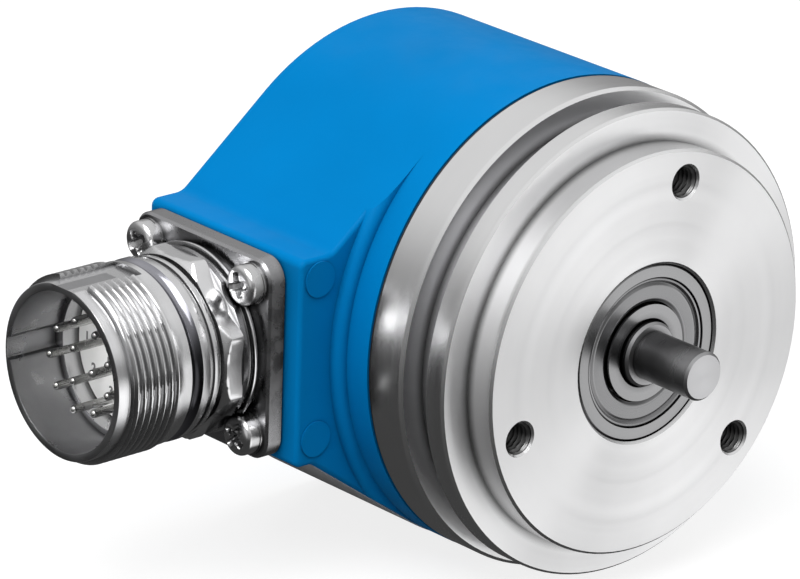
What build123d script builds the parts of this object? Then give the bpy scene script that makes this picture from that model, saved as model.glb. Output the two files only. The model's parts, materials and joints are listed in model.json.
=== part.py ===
from build123d import *
import os
from math import acos, atan2, cos, degrees, hypot, pi, radians, sin, sqrt, tan

os.makedirs("parts", exist_ok=True)

# Absolute rotary encoder with a servo flange and a radial receptacle, in millimetres.
# The shaft axis is Y: the shaft points to -Y, and y = 0 is the face of the centring spigot.
# The receptacle points to -X, and +Z is up.

# Housing, round part
housing_radius = 29.85
housing_wall = 2.35
housing_wall_gap = 0.1
housing_inner = housing_radius - housing_wall

# Servo flange
spigot_radius = 25.0
spigot_length = 4.0
body_radius = housing_radius - 0.05
rim_radius = body_radius - 0.9
rim_width = 2.85
groove_radius = rim_radius - 2.4
groove_width = 3.4
body_width = 5.4
edge_break = 0.3
body_bevel = 0.4
register_radius = housing_inner - housing_wall_gap
register_length = 2.5
neck_radius = 12.6
face_hole_radius = 2.0
face_hole_depth = 8.0
face_hole_countersink = 0.25
face_hole_circle = spigot_radius - 4.0
face_hole_count = 3
face_hole_turn = 13.25

# Shaft
shaft_radius = 3.0
shaft_reach = 9.5
journal_radius = 4.0
journal_lead = 0.9
shaft_bevel = 0.3
pinion_seat_radius = 2.0
waist_radius = 2.5

# Ball bearings, 8 x 22 x 7
bearing_bore = 4.0
bearing_outer = 11.0
bearing_width = 7.0
ball_radius = 1.984
ball_count = 7
ball_circle = 7.5
inner_land = 6.0
outer_land = 9.0
race_radius = 2.05
race_clearance = 0.015
bearing_bevel = 0.3
shield_thickness = 0.3
shield_seat = 9.35
shield_recess = 0.35
shield_gap = 0.25
cage_half_height = 0.55
cage_front = 1.7
cage_rear = 2.55
pocket_clearance = 0.05
bearing_recess = 0.3
bearing_spacing = 5.7
shoulder_radius = 9.7

# Bearing preload and retaining rings
spring_height = 0.7
spring_thickness = 0.3
spring_inner = 9.2
ring_thickness = 1.0
ring_groove_depth = 0.6
ring_inner = 9.4
ring_gap_angle = 40.0
neck_lip = 0.8
shaft_ring_thickness = 0.8
shaft_ring_outer = 5.5
shaft_ring_groove = 0.35
axial_gap = 0.1

# Code disc and its hub
hub_gap = 0.4
hub_collar_radius = 6.4
hub_collar_length = 3.0
hub_flange_radius = 8.0
hub_flange_width = 1.0
hub_nose_radius = 5.2
hub_nose_length = 1.7
disc_radius = 18.5
disc_thickness = 1.2
clamp_radius = 7.6
clamp_thickness = 0.6
set_screw_radius = 1.0
set_screw_length = 2.0

# Light source and receiver
track_circle = 15.8
track_angle = -90.0
lamp_block_radial = 6.2
lamp_block_tangential = 10.0
lens_radius = 2.6
lens_crown = 0.8
lens_rim = 0.6
lens_gap = 0.6
lamp_radius = 1.5
lamp_length = 2.6
reticle_gap = 0.4
reticle_thickness = 0.5
reticle_radial = 5.4
reticle_tangential = 9.0
sensor_thickness = 0.9

# Boards and what carries them
board_radius = housing_inner - 2.6
board_thickness = 1.6
board_hole = 5.0
column_notch = 0.5
board_flat = 0.4
stand_angles = (60.0, 150.0, 210.0, 300.0)
stand_circle = board_radius - 2.7
stand_across_flats = 3.6
stud_radius = 1.0
stud_clearance = 0.05
stud_engagement = 3.0
spacer_length = 2.2
spacer_radius = 1.9
chip_height = 1.1
chips = ((8.0, 12.5, 7.0, 7.0), (-9.0, 15.5, 6.0, 4.0), (15.5, -6.0, 4.0, 5.0), (-12.0, -14.0, 5.0, 4.0))
screw_head_radius = 1.9
screw_head_height = 1.0
stack_width = 12.0
stack_depth = 2.4
stack_circle = board_radius - 2.6

# Turns counter: gear train with magnets
gear_module = 0.5
pinion_teeth = 16
wheel_teeth = 32
pressure_angle = 20.0
addendum = 0.85
dedendum = 1.25
backlash = 0.16
wheel_angles = (90.0, 30.0, -30.0)
wheel_width = 1.6
level_gap = 0.6
pinion_extra = 0.2
gear_plate_thickness = 1.5
gear_plate_radius = board_radius - 0.5
plate_hole = 3.4
gear_clearance = 0.2
first_level_gap = 0.5
axle_radius = 0.75
axle_clearance = 0.04
axle_reach = 1.2
wheel_collar = 2.5
magnet_radius = 2.5
magnet_thickness = 2.0
magnet_hub_length = 1.0
magnet_gap = 0.4
hall_side = 4.0
hall_height = 0.8
shaft_end_gap = 0.3

# Housing
gasket_thickness = 0.5
gasket_inset = 0.25
housing_length = 33.1
rear_wall = 2.7
rear_edge_radius = 0.8
pad_front = 21.2
pad_face = housing_radius + 6.25
pad_half_height = 13.0
flank_foot_top = pad_face - 4.7
flank_foot_bottom = pad_face - 2.7
pad_corner_radius = 1.0
flank_blend_radius = 2.5
pad_edge_radius = 0.6
root_fillet = 1.4
column_circle = housing_inner - 2.7
column_radius = 3.6
column_angles = (0.0, 120.0, 240.0)
cover_screw_radius = 1.5
cover_screw_clearance = 0.2
cover_screw_engagement = 6.0
cover_head_radius = 2.75
cover_head_height = 2.4
cover_head_gap = 0.3
counterbore_depth = 2.9
socket_across_flats = 2.5
socket_depth = 1.3
ejector_radius = 2.2
ejector_height = 0.2
ejector_marks = ((2.9, 10.3), (2.9, -9.7))

# Type label, bare
label_thickness = 0.12
label_front_gap = 0.9
label_rear_gap = 1.2
label_foot_gap = 1.0
label_end_angle = 290.0

# Receptacle, M23: reach is measured outwards from the face of the pad
connector_y = 36.15
plate_gasket = 0.3
plate_thickness = 2.2
plate_side = 2 * pad_half_height - 1.0
plate_corner_radius = 2.8
plate_bore_clearance = 0.1
plate_screw_spacing = 18.8
plate_screw_radius = 1.25
plate_screw_depth = 6.0
plate_head_radius = 2.45
plate_head_height = 2.0
plate_head_crown = 0.8
washer_radius = 2.55
washer_thickness = 0.4
recess_reach = 1.35
recess_width = 0.5
recess_depth = 1.2
shell_mouth = 23.3
mouth_radius = 10.7
thread_radius = 11.4
thread_start = 14.9
thread_end = 21.6
bore_radius = 9.7
bore_floor = 16.1
seat_radius = 9.0
stub_radius = 10.2
stub_length = 1.6
collar_radius = 11.1
collar_end = 12.8
land_hollow = 0.45
front_ring_start = 10.0
front_ring_end = 11.1
neck_ring_radius = 10.5
middle_ring_start = 8.5
middle_ring_end = 9.2
waist_ring_radius = 10.2
octagon_start = 5.1
octagon_end = 7.9
octagon_corner_radius = 11.75
octagon_bevel_radius = 10.9
round_collar_start = 4.4
round_collar_radius = 11.3
rear_groove_radius = 10.8
rear_ring_start = 3.3
rear_ring_end = 3.75
rear_ring_radius = 11.6
hub_ring_radius = 10.7
code_slot_angle = 101.0
code_slot_width = 4.2
code_slot_level = 10.35
code_slot_end = 13.6
keyway_radius = 1.5
keyway_circle = 9.6
insert_front = 14.0
insert_rear = 1.5
insert_clearance = 0.05
insert_bevel = 0.4
pin_radius = 0.5
pin_clearance = 0.05
pin_tip = 21.1
outer_pin_count = 9
outer_pin_circle = 5.6
inner_pin_count = 3
inner_pin_circle = 2.35
tail_radius = 0.32
tail_length = 4.4
flex_disc_radius = 7.4
flex_disc_thickness = 0.8
flex_thickness = 0.2
flex_width = 10.0
flex_bend = 1.2
header_length = 3.6
header_height = 2.2
header_width = 12.0
header_wall = 1.0
pad_bore_clearance = 0.3

# Stations along the shaft axis
rim_rear = spigot_length + rim_width
groove_rear = rim_rear + groove_width
body_rear = groove_rear + body_width
register_rear = body_rear + register_length
housing_front = body_rear + gasket_thickness
housing_rear = housing_front + housing_length
housing_floor = housing_rear - rear_wall
front_bearing_y = bearing_recess
rear_bearing_y = front_bearing_y + bearing_width + bearing_spacing
rear_bearing_end = rear_bearing_y + bearing_width
ring_front = rear_bearing_end + spring_height
ring_rear = ring_front + ring_thickness
neck_rear = ring_rear + neck_lip
hub_front = rear_bearing_end + shaft_ring_thickness + hub_gap
hub_flange_front = hub_front + hub_collar_length
disc_front = hub_flange_front + hub_flange_width
disc_rear = disc_front + disc_thickness
hub_rear = disc_front + hub_nose_length
reticle_front = disc_rear + reticle_gap
sensor_front = reticle_front + reticle_thickness
board_front = sensor_front + sensor_thickness
board_rear = board_front + board_thickness
gear_plate_front = board_rear + spacer_length
gear_plate_rear = gear_plate_front + gear_plate_thickness
level_step = wheel_width + level_gap
levels = [gear_plate_rear + first_level_gap + step * level_step for step in range(3)]
magnet_front = levels[2] + wheel_width + magnet_hub_length
magnet_rear = magnet_front + magnet_thickness
hall_front = magnet_rear + magnet_gap
sensor_board_front = hall_front + hall_height
sensor_board_rear = sensor_board_front + 1.2
journal_rear = hub_rear + 0.3
pinion_front = levels[0] - pinion_extra / 2
pinion_rear = levels[0] + wheel_width + pinion_extra / 2
wheel_circle = gear_module * (pinion_teeth + wheel_teeth) / 2
column_front = register_rear + axial_gap
counterbore_floor = housing_rear - counterbore_depth

# Stations along the receptacle
plate_front = plate_gasket + plate_thickness
washer_front = plate_front + washer_thickness
head_front = washer_front + plate_head_height
insert_radius = seat_radius - insert_clearance


def polar(radius, angle):
    """X and Z of a point at a radius and an angle in degrees round the shaft axis."""
    return radius * cos(radians(angle)), radius * sin(radians(angle))


def turned(*profile):
    """Solid turned about the shaft axis from (radius, y) points."""
    return revolve(make_face(Polyline(*profile, close=True)), Axis.Y)


def turned_at(radius, angle, *profile):
    """Turned solid whose own axis stands at a polar place round the shaft axis."""
    x, z = polar(radius, angle)
    return Pos(x, 0, z) * turned(*profile)


def slab(sketch, front, rear):
    """Sketch drawn in X and Z, as a solid between two stations along the shaft axis."""
    return extrude(Plane.XZ.offset(-front) * sketch, amount=front - rear)


def rod(radius, front, rear, place=(0.0, 0.0)):
    """Round bar parallel to the shaft axis, centred on an (x, z) place."""
    return slab(Pos(*place) * Circle(radius), front, rear)


def connector_plane(reach):
    """Plane square to the receptacle's axis: its x runs to the shaft end and its y runs up."""
    return Plane(origin=(-(pad_face + reach), connector_y, 0), x_dir=(0, -1, 0), z_dir=(-1, 0, 0))


def connector_slab(sketch, rear, front):
    """Sketch seen from the receptacle's mouth, as a solid between two reaches."""
    return extrude(connector_plane(rear) * sketch, amount=front - rear)


def connector_turned(*profile):
    """Solid turned about the receptacle's axis from (reach, radius) points."""
    points = [(-(pad_face + reach), connector_y + radius) for reach, radius in profile]
    axis = Axis((0, connector_y, 0), (1, 0, 0))
    return revolve(make_face(Polyline(*points, close=True)), axis)


def group(solids):
    """Separate solids kept together in one named node."""
    return Compound(children=list(solids))


# Flange


def flange():
    """Turned servo flange with both bearing seats, face threads and threads behind."""
    part = turned(
        (bearing_outer + edge_break, 0),
        (spigot_radius - edge_break, 0),
        (spigot_radius, edge_break),
        (spigot_radius, spigot_length),
        (rim_radius - edge_break, spigot_length),
        (rim_radius, spigot_length + edge_break),
        (rim_radius, rim_rear),
        (groove_radius, rim_rear),
        (groove_radius, groove_rear),
        (body_radius - body_bevel, groove_rear),
        (body_radius, groove_rear + body_bevel),
        (body_radius, body_rear),
        (register_radius, body_rear),
        (register_radius, register_rear),
        (neck_radius, register_rear),
        (neck_radius, neck_rear),
        (bearing_outer, neck_rear),
        (bearing_outer, ring_rear),
        (bearing_outer + ring_groove_depth, ring_rear),
        (bearing_outer + ring_groove_depth, ring_front),
        (bearing_outer, ring_front),
        (bearing_outer, rear_bearing_y),
        (shoulder_radius, rear_bearing_y),
        (shoulder_radius, front_bearing_y + bearing_width),
        (bearing_outer, front_bearing_y + bearing_width),
        (bearing_outer, edge_break),
    )
    for index in range(face_hole_count):
        angle = 90 - face_hole_turn - index * 360 / face_hole_count
        part -= turned_at(
            face_hole_circle,
            angle,
            (0, 0),
            (face_hole_radius + face_hole_countersink, 0),
            (face_hole_radius, face_hole_countersink),
            (face_hole_radius, face_hole_depth),
            (0, face_hole_depth + face_hole_radius / 2),
        )
    for angle in column_angles:
        place = polar(column_circle, angle)
        part -= rod(cover_screw_radius, register_rear - cover_screw_engagement, register_rear, place)
    for angle in stand_angles:
        place = polar(stand_circle, angle)
        depth = stud_engagement + axial_gap
        part -= rod(stud_radius + stud_clearance, register_rear - depth, register_rear, place)
    return part


# Ball bearings


def race_arc(centre_radius, y, side):
    """Arc of a raceway in the plane of radius and y, from its front corner to its rear one."""
    land = outer_land if side > 0 else inner_land
    half = sqrt(race_radius**2 - (land - centre_radius) ** 2)
    middle = centre_radius + side * race_radius
    return (land, y - half), (middle, y), (land, y + half)


def bearing_outer_ring(front):
    """Outer ring with its raceway and a step at each side for the shields."""
    rear = front + bearing_width
    middle = front + bearing_width / 2
    step = shield_recess + shield_thickness
    centre = ball_circle + ball_radius + race_clearance - race_radius
    start, crown, end = race_arc(centre, middle, 1)
    outline = [
        Polyline(
            end,
            (outer_land, rear - step),
            (shield_seat, rear - step),
            (shield_seat, rear),
            (bearing_outer - bearing_bevel, rear),
            (bearing_outer, rear - bearing_bevel),
            (bearing_outer, front + bearing_bevel),
            (bearing_outer - bearing_bevel, front),
            (shield_seat, front),
            (shield_seat, front + step),
            (outer_land, front + step),
            start,
        ),
        ThreePointArc(start, crown, end),
    ]
    return revolve(make_face(outline), Axis.Y)


def bearing_inner_ring(front):
    """Inner ring with its raceway."""
    rear = front + bearing_width
    middle = front + bearing_width / 2
    centre = ball_circle - ball_radius - race_clearance + race_radius
    start, crown, end = race_arc(centre, middle, -1)
    outline = [
        Polyline(
            end,
            (inner_land, rear),
            (bearing_bore + bearing_bevel, rear),
            (bearing_bore, rear - bearing_bevel),
            (bearing_bore, front + bearing_bevel),
            (bearing_bore + bearing_bevel, front),
            (inner_land, front),
            start,
        ),
        ThreePointArc(start, crown, end),
    ]
    return revolve(make_face(outline), Axis.Y)


def ball_places(front):
    """Centres of the balls."""
    for index in range(ball_count):
        x, z = polar(ball_circle, 90 + index * 360 / ball_count)
        yield Pos(x, front + bearing_width / 2, z)


def bearing_balls(front):
    """The balls, as separate solids."""
    return group([place * Sphere(ball_radius) for place in ball_places(front)])


def bearing_cage(front):
    """Crown cage: a ring behind the balls with a pocket round each."""
    middle = front + bearing_width / 2
    cage = turned(
        (ball_circle - cage_half_height, middle - cage_front),
        (ball_circle + cage_half_height, middle - cage_front),
        (ball_circle + cage_half_height, middle + cage_rear),
        (ball_circle - cage_half_height, middle + cage_rear),
    )
    for place in ball_places(front):
        cage -= place * Sphere(ball_radius + pocket_clearance)
    return cage


def bearing_shields(front):
    """A dished steel shield at each side, held by the outer ring."""
    step = shield_recess + shield_thickness
    shields = []
    for seat, inwards in ((front + step, -1), (front + bearing_width - step, 1)):
        outer_face = seat + inwards * shield_thickness
        shields.append(
            turned(
                (inner_land + shield_gap, seat),
                (shield_seat, seat),
                (shield_seat, outer_face),
                (inner_land + shield_gap, outer_face),
            )
        )
    return group(shields)


def bearing_spacer():
    """Sleeve between the two inner rings."""
    front = front_bearing_y + bearing_width
    return turned(
        (bearing_bore, front),
        (inner_land - bearing_bevel, front),
        (inner_land - bearing_bevel, rear_bearing_y),
        (bearing_bore, rear_bearing_y),
    )


def preload_spring():
    """Disc spring that pushes the rear outer ring forwards."""
    rise = spring_height - spring_thickness
    return turned(
        (bearing_outer - axial_gap, rear_bearing_end),
        (bearing_outer - axial_gap, rear_bearing_end + spring_thickness),
        (spring_inner, rear_bearing_end + spring_thickness + rise),
        (spring_inner, rear_bearing_end + rise),
    )


def split_ring(inner, outer, front, rear, gap_angle, gap_turn):
    """Flat retaining ring with an opening."""
    ring = slab(Circle(outer) - Circle(inner), front, rear)
    reach = outer * 2
    half = gap_angle / 2
    wedge = Polyline(
        (0, 0), polar(reach, gap_turn - half), polar(reach, gap_turn), polar(reach, gap_turn + half), close=True
    )
    return ring - slab(make_face(wedge), front, rear)


def bore_retaining_ring():
    """Internal retaining ring behind the disc spring."""
    return split_ring(ring_inner, bearing_outer + ring_groove_depth, ring_front, ring_rear, ring_gap_angle, 45)


def shaft_retaining_ring():
    """External retaining ring behind the rear inner ring."""
    rear = rear_bearing_end + shaft_ring_thickness
    inner = journal_radius - shaft_ring_groove
    return split_ring(inner, shaft_ring_outer, rear_bearing_end, rear, ring_gap_angle * 2, -90)


# Rotor


def shaft():
    """Stepped shaft from the coupling end to the counter's pinion."""
    ring_rear_y = rear_bearing_end + shaft_ring_thickness
    groove = journal_radius - shaft_ring_groove
    return turned(
        (0, -shaft_reach),
        (shaft_radius - shaft_bevel, -shaft_reach),
        (shaft_radius, -shaft_reach + shaft_bevel),
        (shaft_radius, bearing_recess - journal_lead),
        (journal_radius - shaft_bevel, bearing_recess - journal_lead),
        (journal_radius, bearing_recess - journal_lead + shaft_bevel),
        (journal_radius, rear_bearing_end),
        (groove, rear_bearing_end),
        (groove, ring_rear_y),
        (journal_radius, ring_rear_y),
        (journal_radius, journal_rear),
        (waist_radius, journal_rear),
        (waist_radius, pinion_front),
        (pinion_seat_radius, pinion_front),
        (pinion_seat_radius, pinion_rear - shaft_bevel),
        (pinion_seat_radius - shaft_bevel, pinion_rear),
        (0, pinion_rear),
    )


def set_screw_place():
    """Plane of the set screw's outer end, square to its axis."""
    middle = hub_front + hub_collar_length / 2
    return Plane(origin=(0, middle, hub_collar_radius), z_dir=(0, 0, -1))


def disc_hub():
    """Hub that carries the code disc, held on the shaft by a set screw."""
    hub = turned(
        (journal_radius, hub_front),
        (hub_collar_radius, hub_front),
        (hub_collar_radius, hub_flange_front),
        (hub_flange_radius, hub_flange_front),
        (hub_flange_radius, disc_front),
        (hub_nose_radius, disc_front),
        (hub_nose_radius, hub_rear),
        (journal_radius, hub_rear),
    )
    wall = hub_collar_radius - journal_radius
    return hub - extrude(set_screw_place() * Circle(set_screw_radius), amount=wall)


def hub_set_screw():
    """Set screw with a hexagon socket, bearing on the shaft."""
    wall = hub_collar_radius - journal_radius
    seat = set_screw_place().offset(wall - set_screw_length)
    screw = extrude(seat * Circle(set_screw_radius), amount=set_screw_length)
    socket = RegularPolygon(set_screw_radius / 2, 6)
    return screw - extrude(seat * socket, amount=set_screw_length / 2)


def code_disc():
    """Glass disc centred on the nose of the hub."""
    return slab(Circle(disc_radius) - Circle(hub_nose_radius), disc_front, disc_rear)


def disc_clamp_ring():
    """Ring that holds the disc against the hub."""
    return slab(Circle(clamp_radius) - Circle(hub_nose_radius), disc_rear, disc_rear + clamp_thickness)


# Light source and receiver


def track_place():
    """X and Z of the scanned spot on the code track."""
    return polar(track_circle, track_angle)


def radial_plate(radial, tangential):
    """Rectangle at the scanned spot, square to the radius."""
    return Pos(*track_place()) * Rot(0, 0, track_angle) * Rectangle(radial, tangential)


def lens_front():
    return disc_front - lens_gap - lens_rim


def lamp_block():
    """Moulded block on the flange that holds the lamp and its lens."""
    x, z = track_place()
    block = slab(radial_plate(lamp_block_radial, lamp_block_tangential), register_rear, lens_front())
    block = fillet(block.edges().filter_by(Axis.Y), 1.0)
    block -= rod(lens_radius - lens_rim, register_rear + lamp_length, lens_front(), (x, z))
    return block - rod(lamp_radius, register_rear, register_rear + lamp_length, (x, z))


def lamp():
    """Light-emitting diode with a domed end."""
    x, z = track_place()
    dome = register_rear + lamp_length - lamp_radius
    outline = [
        Polyline((0, dome + lamp_radius), (0, register_rear), (lamp_radius, register_rear), (lamp_radius, dome)),
        CenterArc((0, dome), lamp_radius, 0, 90),
    ]
    return Pos(x, 0, z) * revolve(make_face(outline), Axis.Y)


def collimator_lens():
    """Plano-convex lens, its crown towards the lamp."""
    x, z = track_place()
    front = lens_front()
    crown = lens_radius - lens_rim
    curve = (crown**2 + lens_crown**2) / (2 * lens_crown)
    spread = degrees(acos(1 - lens_crown / curve))
    outline = [
        Polyline(
            (0, front - lens_crown),
            (0, front + lens_rim),
            (lens_radius, front + lens_rim),
            (lens_radius, front),
            (crown, front),
        ),
        CenterArc((0, front - lens_crown + curve), curve, -90, spread),
    ]
    return Pos(x, 0, z) * revolve(make_face(outline), Axis.Y)


def reticle():
    """Scanning plate in front of the receiver."""
    return slab(radial_plate(reticle_radial, reticle_tangential), reticle_front, sensor_front)


def photosensor():
    """Receiver chip on the main board."""
    return slab(radial_plate(reticle_radial + 1, reticle_tangential + 1), sensor_front, board_front)


# Boards


def board_outline(radius):
    """Round board with a notch at each housing column, a flat for the flex and its screw holes."""
    outline = Circle(radius)
    for angle in column_angles:
        outline -= Pos(*polar(column_circle, angle)) * Circle(column_radius + column_notch)
    outline -= Pos(-radius, 0) * Rectangle(2 * board_flat, flex_width + 3)
    for angle in stand_angles:
        outline -= Pos(*polar(stand_circle, angle)) * Circle(stud_radius + stud_clearance)
    return outline


def main_board():
    """Main circuit board behind the code disc."""
    return slab(board_outline(board_radius) - Circle(board_hole), board_front, board_rear)


def main_board_chips():
    """Circuits on the rear of the main board."""
    rear = board_rear + chip_height
    return group([slab(Pos(x, z) * Rectangle(w, h), board_rear, rear) for x, z, w, h in chips])


def sensor_board():
    """Board with the magnetic sensors, behind the gear train."""
    return slab(board_outline(board_radius), sensor_board_front, sensor_board_rear)


def hall_sensors():
    """One magnetic sensor opposite each magnet."""
    square = Rectangle(hall_side, hall_side)
    places = [polar(wheel_circle, angle) for angle in wheel_angles]
    return group([slab(Pos(*place) * square, hall_front, sensor_board_front) for place in places])


def hexagon(across_flats):
    return RegularPolygon(across_flats / 2, 6, major_radius=False)


def stand(front, rear, stud_length):
    """Hexagonal stand with a stud in front and a threaded hole behind."""
    stands = []
    hole_depth = stud_engagement + axial_gap
    for angle in stand_angles:
        place = polar(stand_circle, angle)
        body = slab(Pos(*place) * hexagon(stand_across_flats), front, rear)
        body += rod(stud_radius, front - stud_length, front, place)
        stands.append(body - rod(stud_radius + stud_clearance, rear - hole_depth, rear, place))
    return group(stands)


def board_stands():
    """Stands from the flange to the main board."""
    return stand(register_rear, board_front, stud_engagement)


def gear_plate_spacers():
    """Plain spacers between the main board and the gear plate."""
    section = Circle(spacer_radius) - Circle(stud_radius + stud_clearance)
    places = [polar(stand_circle, angle) for angle in stand_angles]
    return group([slab(Pos(*place) * section, board_rear, gear_plate_front) for place in places])


def sensor_board_stands():
    """Stands from the gear plate to the sensor board, with long studs."""
    stud_length = gear_plate_thickness + spacer_length + board_thickness + stud_engagement
    return stand(gear_plate_rear, sensor_board_front, stud_length)


def sensor_board_screws():
    """Screws that hold the sensor board."""
    screws = []
    for angle in stand_angles:
        place = polar(stand_circle, angle)
        shank = rod(stud_radius, sensor_board_rear - stud_engagement, sensor_board_rear, place)
        head = rod(screw_head_radius, sensor_board_rear, sensor_board_rear + screw_head_height, place)
        screws.append(shank + head)
    return group(screws)


def board_link():
    """Tall stacking connector between the two boards."""
    x, z = polar(stack_circle, -90)
    return slab(Pos(x, z) * Rectangle(stack_width, stack_depth), board_rear, sensor_board_front)


# Turns counter


def involute(angle):
    return tan(angle) - angle


def gear_outline(teeth):
    """Outline of a spur gear with a tooth centred on its first axis."""
    pitch = gear_module * teeth / 2
    base = pitch * cos(radians(pressure_angle))
    tip = pitch + addendum * gear_module
    root = pitch - dedendum * gear_module
    half_tooth = (pi * gear_module / 2 - backlash / 2) / (2 * pitch)

    def half_angle(radius):
        slope = acos(min(base / radius, 1.0))
        return degrees(half_tooth + involute(radians(pressure_angle)) - involute(slope))

    flank = [(radius, half_angle(max(radius, base))) for radius in (root, pitch, tip)]
    points = []
    for index in range(teeth):
        middle = index * 360 / teeth
        points += [polar(radius, middle - half) for radius, half in flank]
        points += [polar(radius, middle + half) for radius, half in reversed(flank)]
    return make_face(Polyline(*points, close=True))


def direction(start, end):
    """Angle of the line from one (x, z) place to another."""
    return degrees(atan2(end[1] - start[1], end[0] - start[0]))


wheel_places = [polar(wheel_circle, angle) for angle in wheel_angles]
drive_places = [(0.0, 0.0)] + wheel_places


def shaft_pinion():
    """Pinion pressed on the end of the shaft."""
    turn = direction(drive_places[0], drive_places[1])
    outline = Rot(0, 0, turn) * gear_outline(pinion_teeth) - Circle(pinion_seat_radius)
    return slab(outline, pinion_front, pinion_rear)


def counter_wheel(index):
    """Wheel on its collar, with a pinion for the next wheel and a seat for the magnet."""
    place = wheel_places[index]
    front = levels[index]
    rear = front + wheel_width
    mesh = direction(place, drive_places[index]) + 180 / wheel_teeth
    toothed = Pos(*place) * Rot(0, 0, mesh) * gear_outline(wheel_teeth)
    wheel = slab(toothed, front, rear)
    wheel += rod(wheel_collar, gear_plate_rear + gear_clearance, front, place)
    if index < 2:
        turn = direction(place, wheel_places[index + 1])
        pinion = Pos(*place) * Rot(0, 0, turn) * gear_outline(pinion_teeth)
        pinion_end = levels[index + 1] + wheel_width + pinion_extra / 2
        wheel += slab(pinion, rear, pinion_end)
        rear = pinion_end
    wheel += rod(wheel_collar + 0.5, rear, magnet_front, place)
    bore_end = levels[0] + axle_reach + axle_clearance
    return wheel - rod(axle_radius + axle_clearance, gear_plate_rear + gear_clearance, bore_end, place)


def counter_magnet(index):
    """Disc magnet on the end of a wheel."""
    return rod(magnet_radius, magnet_front, magnet_rear, wheel_places[index])


def gear_plate():
    """Plate that carries the axles, with an opening for the shaft."""
    outline = board_outline(gear_plate_radius) - Circle(plate_hole)
    outline -= Pos(*polar(stack_circle + stack_depth, -90)) * Rectangle(stack_width + 1, 3 * stack_depth + 1)
    for place in wheel_places:
        outline -= Pos(*place) * Circle(axle_radius)
    return slab(outline, gear_plate_front, gear_plate_rear)


def counter_axles():
    """Steel axles pressed into the plate."""
    return group([rod(axle_radius, gear_plate_front, levels[0] + axle_reach, place) for place in wheel_places])


# Housing


def tangent_foot(x, z):
    """Where a line from an outside point touches the housing's circle, on the side of that point."""
    turn = degrees(atan2(z, x))
    spread = degrees(acos(housing_radius / hypot(x, z)))
    return polar(housing_radius, turn - spread if z > 0 else turn + spread)


def housing_outline():
    """Round housing with two flat flanks that run to the receptacle's pad."""
    top = (-flank_foot_top, pad_half_height)
    bottom = (-flank_foot_bottom, -pad_half_height)
    flanks = Polyline((0, 0), tangent_foot(*top), top, bottom, tangent_foot(*bottom), close=True)
    pad_depth = pad_face - housing_radius / 2
    pad = Pos(-(pad_face - pad_depth / 2), 0) * Rectangle(pad_depth, 2 * pad_half_height)
    outline = Circle(housing_radius) + make_face(flanks) + pad
    for x, z, radius in (
        (-flank_foot_top, pad_half_height, flank_blend_radius),
        (-flank_foot_bottom, -pad_half_height, flank_blend_radius / 2),
        (-pad_face, pad_half_height, pad_corner_radius),
        (-pad_face, -pad_half_height, pad_corner_radius),
    ):
        corner = outline.vertices().sort_by_distance((x, z, 0))[0]
        outline = fillet(corner, radius)
    return outline


def housing():
    """Cast housing: a deep cup with a pad, screw columns and a bore for the receptacle."""
    pad_block = slab(housing_outline(), pad_front, housing_rear)
    front_loop = pad_block.faces().sort_by(Axis.Y)[0].edges()
    pad_block = fillet(front_loop, pad_edge_radius)
    rear_loop = pad_block.faces().sort_by(Axis.Y)[-1].edges()
    pad_block = fillet(rear_loop, rear_edge_radius)
    barrel = slab(Circle(housing_radius), housing_front, pad_front + root_fillet)
    cove = make_face(
        [
            Polyline(
                (housing_radius, pad_front - root_fillet),
                (housing_radius - 1, pad_front - root_fillet),
                (housing_radius - 1, pad_front + pad_edge_radius),
                (housing_radius + root_fillet, pad_front + pad_edge_radius),
                (housing_radius + root_fillet, pad_front),
            ),
            RadiusArc(
                (housing_radius + root_fillet, pad_front),
                (housing_radius, pad_front - root_fillet),
                root_fillet,
            ),
        ]
    )
    cove = revolve(cove, Axis.Y) & slab(housing_outline(), pad_front - root_fillet, pad_front + pad_edge_radius)
    body = pad_block + barrel + cove
    inner = housing_inner
    body -= rod(inner, housing_front, housing_floor)
    for angle in column_angles:
        place = polar(column_circle, angle)
        column = rod(column_radius, column_front, housing_floor, place)
        body += column & rod(inner, column_front, housing_floor)
    for angle in column_angles:
        place = polar(column_circle, angle)
        body -= rod(cover_screw_radius + cover_screw_clearance, column_front, counterbore_floor, place)
        body -= rod(cover_head_radius + cover_head_gap, counterbore_floor, housing_rear, place)
    for inset, z in ejector_marks:
        place = (inset - pad_face, z)
        body += rod(ejector_radius, pad_front - ejector_height, pad_front + pad_edge_radius, place)
    bore = stub_radius + pad_bore_clearance
    body -= connector_slab(Circle(bore), column_circle - pad_face, 0)
    for y, z in plate_screw_places():
        body -= connector_slab(Pos(y, z) * Circle(plate_screw_radius), -plate_screw_depth, 0)
    return body


def housing_gasket():
    """Flat gasket between the flange and the housing."""
    ring = Circle(body_radius - gasket_inset) - Circle(housing_inner)
    return slab(ring, body_rear, housing_front)


def cover_screws():
    """Long socket screws from the rear of the housing into the flange."""
    screws = []
    for angle in column_angles:
        place = polar(column_circle, angle)
        shank_front = register_rear - cover_screw_engagement + axial_gap
        head_rear = counterbore_floor + cover_head_height
        screw = rod(cover_screw_radius, shank_front, counterbore_floor, place)
        screw += rod(cover_head_radius, counterbore_floor, head_rear, place)
        socket = Pos(*place) * hexagon(socket_across_flats)
        screws.append(screw - slab(socket, head_rear - socket_depth, head_rear))
    return group(screws)


def type_label():
    """Bare label on the lower flank and the underside of the housing."""
    outline = housing_outline()
    skin = offset(outline, label_thickness) - outline
    reach = housing_radius * 2
    foot_x = -(flank_foot_bottom - label_foot_gap)
    window = Polyline(
        (foot_x, 0), (foot_x, -reach), (0, -reach), polar(reach, label_end_angle), (0, 0), close=True
    )
    return slab(skin & make_face(window), pad_front + label_front_gap, housing_rear - label_rear_gap)


# Receptacle


def plate_screw_places():
    half = plate_screw_spacing / 2
    return [(y, z) for y in (-half, half) for z in (-half, half)]


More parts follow.
